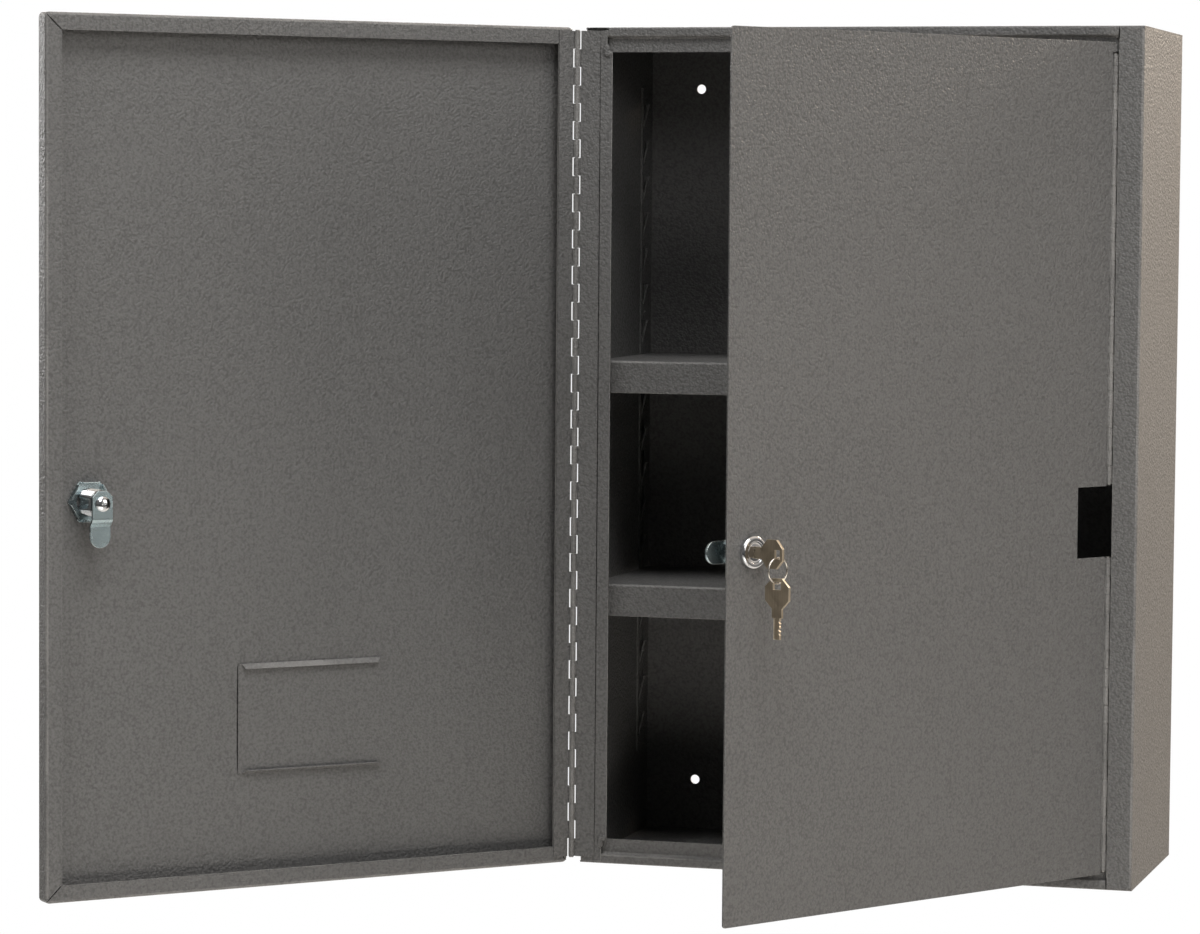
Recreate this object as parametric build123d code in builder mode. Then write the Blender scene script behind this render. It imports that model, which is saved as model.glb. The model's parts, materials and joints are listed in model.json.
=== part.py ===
"""Lockable two-door medicine cabinet for a wall, in sheet steel.

A case of five welded panels holds two shelves on slotted ladders. An inner door hangs on the
right and locks with its own cam lock. An outer door hangs on the left, covers the whole front,
and its cam reaches through a slot in the inner door to catch the right flange of the case.
Both doors stand open. Each door piece is drawn as it lies when shut, then swung about its pin.

Units are millimetres. +X is to the right, -Y is out of the wall, +Z is up. The origin is the
centre of the four wall-screw holes, on the back face.
"""

from build123d import *

import os
from math import cos, radians, sin


os.makedirs("parts", exist_ok=True)

# ---------------------------------------------------------------- driving dimensions
# case
case_width = 406.4
case_height = 609.6
case_depth = 177.8
sheet = 1.5                     # case and door steel
bend = sheet + 0.5              # outside radius of a folded edge
left_flange = 20.0              # front return of the left side, where the inner cam catches
right_flange = 18.0             # front return of the right side, where the outer cam catches
rail_face = 7.0                 # upright front strip of the top and bottom panels
rail_step = 2 * sheet + 0.8     # how far the door stop lies behind that strip
rail_height = 17.8              # strip and door stop together
rail_tuck = 4.0                 # how far a rail runs over the left flange, in its notch
wall_hole_radius = 3.5
wall_hole_inset = 40.0          # from the edges of the case

# shelves
shelf_sheet = 1.2
shelf_lip = 23.5                # front edge, folded down
shelf_back_lip = 14.0
shelf_setback = 12.0            # front of the shelf behind the front of the case
shelf_rear_gap = 2.0
shelf_side_gap = 0.5            # each end to the ladders
upper_shelf_top = 63.2          # above the middle of the case
shelf_steps = 6                 # ladder steps between the two shelves

# shelf ladders
ladder_sheet = 1.2
ladder_width = 15.0
ladder_pitch = 27.25
ladder_floor_gap = 50.0         # least room under the ladders
ladder_inset = 26.0             # middle of a ladder from the front and from the back
tab_height = 18.0
tab_width = 6.5
tab_reach = 4.2                 # how far a step stands off its ladder
ladder_end = 12.0               # plain strip past the last steps

# continuous hinges
knuckle_radius = 2.2
knuckle_sides = 8               # each knuckle is rolled in short flats
bore_sides = 6
hinge_pin_radius = 1.1
leaf_sheet = 1.0
knuckle_pitch = 13.1
knuckle_play = 0.3              # gap between neighbouring knuckles
pin_head_radius = 1.7
pin_head_height = 0.6
pin_head_room = 1.5             # inner door plate past a hinge
pin_clearance = 0.05
leaf_notch_gap = 0.4            # leaf edge to the other leaf's knuckles
outer_pin_overhang = 6.0        # outer pin axis outside the case's left side
outer_hinge_inset = 4.5         # lower end of the outer hinge above the bottom of the case
outer_hinge_room = 1.5          # least room above its upper end
outer_case_leaf = 16.7          # leaf widths, from the pin axis
inner_leaf = 13.5
upper_hinge_gap = 1.3           # above the slot
lower_hinge_gap = 0.5           # below the slot
inner_hinge_room = 2.0          # least room at the rail lip and at the door's lower edge

# outer door
door_depth = 13.5
door_flange = 12.0              # return that faces the case
door_edge_from_pin = 2.0
corner_radius = 3.5
mitre_gap = 0.35
seam_end = 4.2                  # from the outer corner, where the mitre is closed by its weld
outer_open = 134.0              # degrees from shut, as it stands here

# card holder inside the outer door
card_sheet = 0.8
card_width = 114.0
card_height = 80.0
card_flap = 4.6
card_flap_angle = 50.0          # degrees from the plate
card_from_pin = 205.5           # middle of the holder
card_centre_z = -186.3
card_mitre = 4.5

# inner door
inner_gap = 1.5                 # free edge to the left flange
inner_end_gap = 4.5             # top and bottom edges to the rail strips
inner_corner_past_pin = 1.2
inner_open = 57.0
inner_corner_radius = 2.0
slot_width = 31.5               # from the pin axis
slot_height = 50.0
slot_centre_z = -42.8
flange_to_knuckle = 0.5

# cam locks
plug_radius = 6.2
lock_body_radius = plug_radius + 3.2
lock_flats = 2 * lock_body_radius - 2.6
lock_sides = 24                 # short flats round the barrel, bezel, plug head and screw head
lock_hole_clearance = 0.2
bezel_radius = lock_body_radius + 1.6
bezel_depth = 4.0
bezel_bevel = 1.8
plug_clearance = 0.05
plug_recess = 0.6
plug_head_radius = plug_radius + 1.0
plug_head_depth = 2.4
lock_end_gap = 0.3              # barrel to cam, and plug head to its seat
drive_square = 7.0
drive_clearance = 0.1
nut_radius = lock_body_radius + 6.6  # corner to centre
nut_sheet = 1.4
nut_turn_up = 3.6
nut_clearance = 0.1
nut_notch = 3.6                 # cut at each corner between the turned-up sides
cam_sheet = 1.8
cam_width = 15.0
cam_reach = 30.5
cam_crown = 9.0
cam_crown_chamfer = 4.2
cam_bend_start = 11.0
cam_offset = 4.0
cam_behind_flange = 0.7         # outer cam blade behind the case flange
inner_cam_depth = 8.5           # inner cam blade behind the door plate
screw_head_radius = 5.4
screw_head_height = 2.6
screw_radius = 1.9
screw_length = 5.0
screw_end_gap = 0.5
screw_clearance = 0.05
outer_lock_from_edge = 36.8     # from the outer door's free edge
outer_lock_z = -29.8
inner_lock_from_edge = 21.8     # from the inner door's free edge
inner_lock_z = -47.8

# keys
key_sheet = 1.9
key_bow_length = 20.0
key_bow_width = 19.0
key_bow_chamfer = 5.6
key_window_length = 5.0
key_window_width = 6.0
key_window_edge = 2.4           # metal between the window and the end of the bow
key_neck_length = 6.0
key_neck_width = 7.8
key_blade_length = 14.0
key_blade_width = 5.0
key_groove_width = 1.4
key_groove_depth = 0.5
key_bit_depths = (0.9, 0.5, 1.1, 0.7)
key_bit_pitch = 2.6
key_bit_start = 2.4
key_slot_end_gap = 0.4
key_slot_clearance = 0.2
key_bow_standoff = 10.0         # bow of the fitted key in front of the door
ring_radius = 8.3
ring_wire_radius = 0.65
ring_wire_sides = 6
ring_seat_gap = 0.3
spare_turn = 12.0               # degrees that the spare key has turned on the ring

# ---------------------------------------------------------------- worked-out places
half_width = case_width / 2
half_height = case_height / 2
front = -case_depth
left = -half_width
right = half_width
side_height = case_height - 2 * sheet
flange_left_edge = left + left_flange
flange_right_edge = right - right_flange

bore_radius = hinge_pin_radius + pin_clearance
leaf_start = knuckle_radius + leaf_notch_gap

outer_pin_x = left - outer_pin_overhang
outer_pin_y = front - knuckle_radius
door_face = outer_pin_y - knuckle_radius           # plane of the outer door's returns when shut
door_skin = door_face - door_depth                 # outside of the outer door
door_left = outer_pin_x + door_edge_from_pin
door_width = right - door_left
door_centre_x = (right + door_left) / 2
outer_door_leaf = door_edge_from_pin + door_flange
outer_hinge_bottom = outer_hinge_inset - half_height
outer_knuckles = int((case_height - outer_hinge_inset - outer_hinge_room) / knuckle_pitch)

inner_pin_x = flange_right_edge - flange_to_knuckle - knuckle_radius
inner_pin_y = front + sheet + leaf_sheet - knuckle_radius
inner_free_edge = flange_left_edge + inner_gap
inner_corner = inner_pin_x + inner_corner_past_pin
inner_half_height = half_height - rail_face - inner_end_gap
upper_hinge_bottom = slot_centre_z + slot_height / 2 + upper_hinge_gap
upper_hinge_room = half_height - rail_height - inner_hinge_room - upper_hinge_bottom
upper_knuckles = int(upper_hinge_room / knuckle_pitch)
lower_hinge_top = slot_centre_z - slot_height / 2 - lower_hinge_gap
lower_hinge_room = lower_hinge_top + inner_half_height - inner_hinge_room
lower_knuckles = int(lower_hinge_room / knuckle_pitch)
inner_hinges = (
    ("upper", upper_hinge_bottom, upper_knuckles),
    ("lower", lower_hinge_top - lower_knuckles * knuckle_pitch, lower_knuckles),
)

outer_lock_x = right - outer_lock_from_edge
inner_lock_x = inner_free_edge + inner_lock_from_edge

outer_lock_seat = door_skin + sheet                # inside face of the outer door's skin
outer_blade = front + sheet + cam_behind_flange
outer_hub = outer_blade + cam_offset
inner_lock_seat = front + sheet
inner_hub = inner_lock_seat + inner_cam_depth + cam_offset

rail_left = flange_left_edge - rail_tuck
shelf_half_width = half_width - sheet - ladder_sheet - shelf_side_gap
shelf_front = front + shelf_setback
shelf_back = -sheet - shelf_rear_gap
lower_shelf_top = upper_shelf_top - shelf_steps * ladder_pitch
shelf_step = upper_shelf_top - shelf_sheet
room_above = half_height - rail_height - ladder_end - shelf_step
room_below = half_height - sheet - ladder_floor_gap - ladder_end - tab_height + shelf_step
rows_above = int(room_above / ladder_pitch)
ladder_rows = rows_above + 1 + int(room_below / ladder_pitch)
top_step = shelf_step + rows_above * ladder_pitch
step_tops = [top_step - row * ladder_pitch for row in range(ladder_rows)]
ladder_top = top_step + ladder_end
ladder_height = (ladder_rows - 1) * ladder_pitch + tab_height + 2 * ladder_end

seam_middle = (door_flange + mitre_gap + seam_end) / 2
seam_length = (door_flange + mitre_gap - seam_end) * 2 ** 0.5
card_centre_x = outer_pin_x + card_from_pin
card_top = card_centre_z + card_height / 2
card_bottom = card_centre_z - card_height / 2
card_seat = outer_lock_seat
card_flap_drop = card_flap * cos(radians(card_flap_angle))
card_flap_y = card_seat + card_flap * sin(radians(card_flap_angle))

plug_bore = plug_radius + plug_clearance
head_bore = plug_head_radius + plug_clearance
head_seat = plug_recess + plug_head_depth + lock_end_gap - bezel_depth
tip_centre = cam_width / 2 - cam_reach
key_shoulder = key_neck_length - key_bow_standoff
key_slot_depth = key_shoulder + key_blade_length + key_slot_end_gap + bezel_depth - plug_recess
window_y = key_window_edge + key_window_length / 2 - key_bow_standoff - key_bow_length
ring_top = ring_seat_gap + ring_wire_radius - key_window_width / 2
ring_centre = ring_top - ring_radius
spare_end = ring_centre - ring_radius + ring_wire_radius + ring_seat_gap + key_window_edge

outer_swing = (
    Location((outer_pin_x, outer_pin_y, 0))
    * Location((0, 0, 0), (0, 0, -outer_open))
    * Location((-outer_pin_x, -outer_pin_y, 0))
)
inner_swing = (
    Location((inner_pin_x, inner_pin_y, 0))
    * Location((0, 0, 0), (0, 0, inner_open))
    * Location((-inner_pin_x, -inner_pin_y, 0))
)

spare_place = (
    Location((0, window_y, spare_end - key_bow_standoff - key_bow_length))
    * Location((0, 0, 0), (0, 0, spare_turn))
    * Location((0, 0, 0), (-90, 0, 0))
)


def write(builder, name, swing=None):
    """Swing a finished piece to where it stands, label it and write its file."""
    if swing is not None:
        builder.part.locate(swing)
    builder.part.label = name
    export_step(builder.part, f"parts/{name}.step")


# ---------------------------------------------------------------- case
# Left side: a wall with its front return, notched at both ends for the rails.
with BuildPart() as left_side_panel:
    with BuildSketch(Plane.XY.offset(-side_height / 2)):
        with BuildLine():
            FilletPolyline((left, 0), (left, front), (flange_left_edge, front), radius=bend)
            offset(amount=sheet, side=Side.LEFT)
        make_face()
    extrude(amount=side_height)
    with Locations(*[(flange_left_edge, front, end * half_height) for end in (-1, 1)]):
        Box(2 * rail_tuck, 4 * sheet, 2 * rail_height, mode=Mode.SUBTRACT)
write(left_side_panel, "left_side_panel")

# Right side: the same, with a plain return that both rails butt against.
with BuildPart() as right_side_panel:
    with BuildSketch(Plane.XY.offset(-side_height / 2)):
        with BuildLine():
            FilletPolyline((right, 0), (right, front), (flange_right_edge, front), radius=bend)
            offset(amount=sheet, side=Side.RIGHT)
        make_face()
    extrude(amount=side_height)
write(right_side_panel, "right_side_panel")

# Top panel: flat roof, upright strip, step back and door stop, folded from one sheet.
with BuildPart() as top_panel:
    with BuildSketch(Plane.YZ.offset(left)):
        with BuildLine():
            FilletPolyline(
                (0, half_height),
                (front, half_height),
                (front, half_height - rail_face),
                (front + rail_step, half_height - rail_face),
                (front + rail_step, half_height - rail_height),
                radius=sheet + 0.1,
            )
            offset(amount=sheet, side=Side.LEFT)
        make_face()
    extrude(amount=case_width)
    for inner, outer in ((rail_left, left), (flange_right_edge, right)):
        with Locations(((inner + outer) / 2, front, half_height - sheet - rail_height / 2)):
            Box(abs(outer - inner), 4 * rail_step, rail_height, mode=Mode.SUBTRACT)
write(top_panel, "top_panel")

# Bottom panel: the top panel turned over.
with BuildPart() as bottom_panel:
    mirror(top_panel.part, about=Plane.XY)
write(bottom_panel, "bottom_panel")

# Back panel: flat sheet between the sides, with four wall-screw holes.
with BuildPart() as back_panel:
    with BuildSketch(Plane.XZ):
        Rectangle(case_width - 2 * sheet, side_height)
        with GridLocations(case_width - 2 * wall_hole_inset, case_height - 2 * wall_hole_inset, 2, 2):
            Circle(wall_hole_radius, mode=Mode.SUBTRACT)
    extrude(amount=sheet)
write(back_panel, "back_panel")

# ---------------------------------------------------------------- shelves and ladders
# Shelves: trays turned down at the front and the back, resting on ladder steps.
for name, top in (("upper_shelf", upper_shelf_top), ("lower_shelf", lower_shelf_top)):
    with BuildPart() as shelf:
        with BuildSketch(Plane.YZ.offset(-shelf_half_width)):
            with BuildLine():
                FilletPolyline(
                    (shelf_back, top - shelf_back_lip),
                    (shelf_back, top),
                    (shelf_front, top),
                    (shelf_front, top - shelf_lip),
                    radius=shelf_sheet + 0.6,
                )
                offset(amount=shelf_sheet, side=Side.LEFT)
            make_face()
        extrude(amount=2 * shelf_half_width)
    write(shelf, name)

# Ladders: upright strips on the side walls, with a row of steps cut free and leaned inward.
for side_name, wall, inward in (("left", left + sheet, 1), ("right", right - sheet, -1)):
    for end_name, middle in (("front", front + ladder_inset), ("back", -ladder_inset)):
        with BuildPart() as ladder:
            with BuildSketch(Plane.YZ.offset(wall)):
                with Locations((middle, ladder_top - ladder_height / 2)):
                    Rectangle(ladder_width, ladder_height)
                with Locations(*[(middle, step - tab_height / 2) for step in step_tops]):
                    Rectangle(tab_width, tab_height, mode=Mode.SUBTRACT)
            extrude(amount=inward * ladder_sheet)
            with BuildSketch(Plane.XZ.offset(-middle)):
                for step in step_tops:
                    with BuildLine():
                        Polyline(
                            (wall, step - tab_height),
                            (wall + inward * tab_reach, step),
                            (wall + inward * (tab_reach + ladder_sheet), step),
                            (wall + inward * ladder_sheet, step - tab_height),
                            close=True,
                        )
                    make_face()
            extrude(amount=tab_width / 2, both=True)
        write(ladder, f"{end_name}_{side_name}_ladder")

# ---------------------------------------------------------------- continuous hinges
# Each leaf is a long plate with every second knuckle; the plates lie tangent to the knuckles.
def hinge_leaf(pin_x, pin_y, bottom, knuckles, first, toward, reach, face):
    """One leaf: its plate runs toward +X or -X, and its face side is +Y (1) or -Y (-1)."""
    plate_y = pin_y + face * (knuckle_radius - leaf_sheet / 2)
    with BuildPart() as knuckle:
        with BuildSketch():
            RegularPolygon(knuckle_radius, knuckle_sides)
            RegularPolygon(bore_radius, bore_sides, major_radius=False, mode=Mode.SUBTRACT)
            with Locations((toward * leaf_start / 2, face * (knuckle_radius - leaf_sheet / 2))):
                Rectangle(leaf_start, leaf_sheet)
        extrude(amount=knuckle_pitch - knuckle_play)
    rows = [bottom + row * knuckle_pitch + knuckle_play / 2 for row in range(first, knuckles, 2)]
    with BuildPart() as leaf:
        with BuildSketch(Plane.XY.offset(bottom)):
            with Locations((pin_x + toward * (leaf_start + reach) / 2, plate_y)):
                Rectangle(reach - leaf_start, leaf_sheet)
        extrude(amount=knuckles * knuckle_pitch)
        with Locations(*[(pin_x, pin_y, row) for row in rows]):
            add(knuckle.part)
    return leaf


def hinge_pin(pin_x, pin_y, bottom, knuckles):
    """Pin through all the knuckles, with a peened head past each end."""
    length = knuckles * knuckle_pitch
    with BuildPart() as pin:
        with BuildSketch(Plane.XY.offset(bottom)):
            with Locations((pin_x, pin_y)):
                Circle(hinge_pin_radius)
        extrude(amount=length)
        for start, way in ((bottom, -1), (bottom + length, 1)):
            with BuildSketch(Plane.XY.offset(start)):
                with Locations((pin_x, pin_y)):
                    RegularPolygon(pin_head_radius, knuckle_sides)
            extrude(amount=way * pin_head_height)
    return pin


write(
    hinge_leaf(outer_pin_x, outer_pin_y, outer_hinge_bottom, outer_knuckles, 0, 1, outer_case_leaf, 1),
    "outer_hinge_case_leaf",
)
write(
    hinge_leaf(outer_pin_x, outer_pin_y, outer_hinge_bottom, outer_knuckles, 1, 1, outer_door_leaf, -1),
    "outer_hinge_door_leaf",
    outer_swing,
)
write(hinge_pin(outer_pin_x, outer_pin_y, outer_hinge_bottom, outer_knuckles), "outer_hinge_pin")
for end_name, bottom, count in inner_hinges:
    write(
        hinge_leaf(inner_pin_x, inner_pin_y, bottom, count, 0, 1, inner_leaf, 1),
        f"{end_name}_hinge_case_leaf",
    )
    write(
        hinge_leaf(inner_pin_x, inner_pin_y, bottom, count, 1, -1, inner_leaf, 1),
        f"{end_name}_hinge_door_leaf",
        inner_swing,
    )
    write(hinge_pin(inner_pin_x, inner_pin_y, bottom, count), f"{end_name}_hinge_pin")

# ---------------------------------------------------------------- outer door
# A shallow pan whose returns are mitred at the corners.
with BuildPart() as outer_door:
    with BuildSketch(Plane.XZ.offset(-door_face)):
        with Locations((door_centre_x, 0)):
            RectangleRounded(door_width, case_height, corner_radius)
    extrude(amount=door_depth)
    outside = outer_door.faces().sort_by(Axis.Y)[0].edges()
    returns = outer_door.faces().sort_by(Axis.Y)[-1].edges()
    fillet(outside + returns, radius=bend)
    with BuildSketch(Plane.XZ.offset(sheet - door_face)):
        with Locations((door_centre_x, 0)):
            RectangleRounded(door_width - 2 * sheet, case_height - 2 * sheet, corner_radius - sheet)
    extrude(amount=door_depth - 2 * sheet, mode=Mode.SUBTRACT)
    with BuildSketch(Plane.XZ.offset(-door_face)):
        with Locations((door_centre_x, 0)):
            Rectangle(door_width - 2 * door_flange, case_height - 2 * door_flange)
        for across in (-1, 1):
            for up in (-1, 1):
                seam_x = door_centre_x + across * (door_width / 2 - seam_middle)
                seam_z = up * (case_height / 2 - seam_middle)
                with Locations((seam_x, seam_z)):
                    Rectangle(seam_length, mitre_gap, rotation=across * up * 45)
    extrude(amount=sheet, mode=Mode.SUBTRACT)
    with BuildSketch(Plane.XZ.offset(-door_skin)):
        with Locations((outer_lock_x, outer_lock_z)):
            Circle(lock_body_radius + lock_hole_clearance)
            Rectangle(lock_flats + 2 * lock_hole_clearance, case_width, mode=Mode.INTERSECT)
    extrude(amount=-2 * sheet, mode=Mode.SUBTRACT)
write(outer_door, "outer_door", outer_swing)

# Card holder: thin plate with a flap folded over its top and bottom edges.
with BuildPart() as card_holder:
    with BuildSketch(Plane.YZ.offset(card_centre_x - card_width / 2)):
        with BuildLine():
            FilletPolyline(
                (card_flap_y, card_top - card_flap_drop),
                (card_seat, card_top),
                (card_seat, card_bottom),
                (card_flap_y, card_bottom + card_flap_drop),
                radius=card_sheet + 0.2,
            )
            offset(amount=card_sheet, side=Side.LEFT)
        make_face()
    extrude(amount=card_width)
    with BuildSketch(Plane.XZ.offset(-card_seat - 1.5 * card_sheet)):
        for across in (-1, 1):
            for edge, way in ((card_top, -1), (card_bottom, 1)):
                end_x = card_centre_x + across * card_width / 2
                with BuildLine():
                    Polyline(
                        (end_x, edge - way),
                        (end_x, edge + way * card_height / 4),
                        (end_x - across * card_mitre, edge + way * card_height / 4),
                        (end_x - across * card_mitre, edge + way * card_flap_drop),
                        (end_x - across, edge - way),
                        close=True,
                    )
                make_face()
    extrude(amount=-2 * card_flap, mode=Mode.SUBTRACT)
write(card_holder, "card_holder", outer_swing)

# ---------------------------------------------------------------- inner door
# A flat plate, cut back along its hinges and round the outer lock's slot.
with BuildPart() as inner_door:
    with BuildSketch(Plane.XZ.offset(-front)):
        with Locations(((inner_free_edge + inner_corner) / 2, 0)):
            RectangleRounded(inner_corner - inner_free_edge, 2 * inner_half_height, inner_corner_radius)
        for end_name, bottom, count in inner_hinges:
            height = count * knuckle_pitch + 2 * pin_head_room
            with Locations((inner_pin_x + case_width / 2 - leaf_start, bottom - pin_head_room + height / 2)):
                Rectangle(case_width, height, mode=Mode.SUBTRACT)
        with Locations((inner_pin_x - slot_width + case_width / 2, slot_centre_z)):
            Rectangle(case_width, slot_height, mode=Mode.SUBTRACT)
        with BuildSketch(mode=Mode.SUBTRACT):
            with Locations((inner_lock_x, inner_lock_z)):
                Circle(lock_body_radius + lock_hole_clearance)
                Rectangle(lock_flats + 2 * lock_hole_clearance, case_width, mode=Mode.INTERSECT)
    extrude(amount=-sheet)
write(inner_door, "inner_door", inner_swing)

# ---------------------------------------------------------------- cam locks
# Each lock is drawn on its own axis, +Y into the door, from the outside face of the door.
outer_place = outer_swing * Location((outer_lock_x, door_skin, outer_lock_z))
inner_place = inner_swing * Location((inner_lock_x, front, inner_lock_z))
sideways = Location((0, 0, 0), (0, 90, 0))
for door_name, hub, place, cam_turn in (
    ("outer", outer_hub - door_skin, outer_place, Location()),
    ("inner", inner_hub - front, inner_place, sideways),
):
    # Body: bevelled bezel outside the door and a barrel with two flats through it.
    with BuildPart() as body:
        with BuildSketch(Plane.XZ.offset(bezel_depth)):
            RegularPolygon(bezel_radius, lock_sides)
        extrude(amount=-bezel_depth)
        chamfer(body.faces().sort_by(Axis.Y)[0].edges(), length=bezel_bevel)
        with BuildSketch(Plane.XZ):
            RegularPolygon(lock_body_radius, lock_sides)
        extrude(amount=-(hub - lock_end_gap))
        with BuildSketch(Plane.XZ.offset(bezel_depth)):
            Circle(plug_bore)
        extrude(amount=-(hub + bezel_depth), mode=Mode.SUBTRACT)
        with BuildSketch(Plane.XZ.offset(bezel_depth)):
            Circle(head_bore)
        extrude(amount=-(head_seat + bezel_depth), mode=Mode.SUBTRACT)
        flat_depth = lock_body_radius - lock_flats / 2
        for across in (-1, 1):
            with Locations((across * (lock_flats / 2 + flat_depth / 2), hub / 2, 0)):
                Box(flat_depth, hub, 2 * lock_body_radius, mode=Mode.SUBTRACT)
    write(body, f"{door_name}_lock_body", place)

    # Retaining nut: stamped hexagon, its sides turned up and parted at the corners.
    with BuildPart() as nut:
        with BuildSketch(Plane.XZ.offset(-sheet)):
            RegularPolygon(nut_radius, 6)
        extrude(amount=-nut_sheet - nut_turn_up)
        with BuildSketch(Plane.XZ.offset(-sheet - nut_sheet)):
            RegularPolygon(nut_radius - nut_sheet, 6)
            with PolarLocations(nut_radius, 6):
                Rectangle(2 * nut_notch, nut_notch)
        extrude(amount=-nut_turn_up, mode=Mode.SUBTRACT)
        with BuildSketch(Plane.XZ.offset(-sheet)):
            RegularPolygon(lock_body_radius + nut_clearance, lock_sides)
        extrude(amount=-nut_sheet, mode=Mode.SUBTRACT)
    write(nut, f"{door_name}_lock_nut", place)

    # Plug: round core with a head in the bezel, a square tail for the cam and a key slot.
    with BuildPart() as plug:
        with BuildSketch(Plane.XZ.offset(bezel_depth - plug_recess)):
            RegularPolygon(plug_head_radius, lock_sides)
        extrude(amount=-plug_head_depth)
        with BuildSketch(Plane.XZ.offset(bezel_depth - plug_recess)):
            Circle(plug_radius)
        extrude(amount=-(hub + bezel_depth - plug_recess))
        with BuildSketch(Plane.XZ.offset(-hub)):
            Rectangle(drive_square, drive_square)
        extrude(amount=-(cam_sheet - drive_clearance))
        with BuildSketch(Plane.XZ.offset(bezel_depth - plug_recess)):
            Rectangle(key_sheet + 2 * key_slot_clearance, key_blade_width + 2 * key_slot_clearance)
        extrude(amount=-key_slot_depth, mode=Mode.SUBTRACT)
        with BuildSketch(Plane.XZ.offset(-hub - cam_sheet)):
            Circle(screw_radius + screw_clearance)
        extrude(amount=screw_length, mode=Mode.SUBTRACT)
    write(plug, f"{door_name}_lock_plug", place)

    # Cam: strip with a bevelled crown, a bend toward the door and a round tip.
    with BuildPart() as cam:
        with BuildSketch(Plane.YZ.offset(-cam_width / 2)):
            with BuildLine():
                FilletPolyline(
                    (hub, cam_crown),
                    (hub, -cam_bend_start),
                    (hub - cam_offset, -cam_bend_start - cam_offset),
                    (hub - cam_offset, -cam_reach),
                    radius=cam_sheet + 0.2,
                )
                offset(amount=cam_sheet, side=Side.LEFT)
            make_face()
        extrude(amount=cam_width)
        with BuildSketch(Plane.XZ.offset(cam_offset - hub)):
            with Locations((0, (cam_crown + tip_centre) / 2)):
                Rectangle(cam_width, cam_crown - tip_centre)
            with Locations((0, tip_centre)):
                Circle(cam_width / 2)
            Rectangle(
                drive_square + 2 * drive_clearance, drive_square + 2 * drive_clearance, mode=Mode.SUBTRACT
            )
        extrude(amount=-cam_offset - cam_sheet, mode=Mode.INTERSECT)
        crown_corners = cam.edges().filter_by(Axis.Y).group_by(Axis.Z)[-1]
        chamfer(crown_corners, length=cam_crown_chamfer)
    write(cam, f"{door_name}_lock_cam", place * cam_turn)

    # Cam screw: low round head and a shank in the plug.
    with BuildPart() as screw:
        with BuildSketch(Plane.XZ.offset(-hub - cam_sheet)):
            RegularPolygon(screw_head_radius, lock_sides)
        extrude(amount=-screw_head_height)
        chamfer(screw.faces().sort_by(Axis.Y)[-1].edges(), length=screw_head_height / 2)
        with BuildSketch(Plane.XZ.offset(-hub - cam_sheet)):
            Circle(screw_radius)
        extrude(amount=screw_length - screw_end_gap)
    write(screw, f"{door_name}_cam_screw", place)

# ---------------------------------------------------------------- keys
# Flat key on the same axis: bow outside, blade toward +Y, cuts along its lower edge.
with BuildPart() as key:
    with BuildSketch(Plane.YZ.offset(-key_sheet / 2)):
        with Locations((-key_bow_standoff - key_bow_length / 2, 0)):
            bow = Rectangle(key_bow_length, key_bow_width)
        chamfer(bow.vertices(), length=key_bow_chamfer)
        with Locations((-key_bow_standoff + key_neck_length / 2, 0)):
            Rectangle(key_neck_length, key_neck_width)
        with Locations((-key_bow_standoff + key_neck_length + key_blade_length / 2, 0)):
            tip = Rectangle(key_blade_length, key_blade_width)
        with Locations((window_y, 0)):
            Rectangle(key_window_length, key_window_width, mode=Mode.SUBTRACT)
        for place, depth in enumerate(key_bit_depths):
            cut_y = key_shoulder + key_bit_start + place * key_bit_pitch
            with Locations((cut_y, -key_blade_width / 2)):
                Rectangle(depth * 2 ** 0.5, depth * 2 ** 0.5, rotation=45, mode=Mode.SUBTRACT)
    extrude(amount=key_sheet)
    for across in (-1, 1):
        with Locations((across * key_sheet / 2, key_shoulder + key_blade_length / 2, key_groove_width)):
            Box(2 * key_groove_depth, key_blade_length, key_groove_width, mode=Mode.SUBTRACT)
write(key, "inserted_key", inner_place)

# Ring: round wire through the window of the fitted key.
with BuildPart() as key_ring:
    with BuildSketch(Plane.YZ):
        with Locations((window_y, ring_centre + ring_radius)):
            RegularPolygon(ring_wire_radius, ring_wire_sides)
    revolve(axis=Axis((0, window_y, ring_centre), (0, 1, 0)))
write(key_ring, "key_ring", inner_place)

# Spare key: the same key, hung by its window from the foot of the ring.
with BuildPart() as spare_key:
    add(key.part.located(spare_place))
write(spare_key, "spare_key", inner_place)
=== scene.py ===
"""Looks of a lockable two-door medicine cabinet in pebbled grey paint.

The cabinet's sheet pieces keep their modelled shape and gain softened edges; the locks, keys,
ring and screws are turned and cut again with round surfaces. Everything is in metres, in the
frame of the loaded model: +X to the right, -Y out of the wall, +Z up.
"""
import json
import logging
import math
from dataclasses import dataclass, field
from enum import Enum

import bmesh
import bpy
from mathutils import Matrix, Vector, noise


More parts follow.
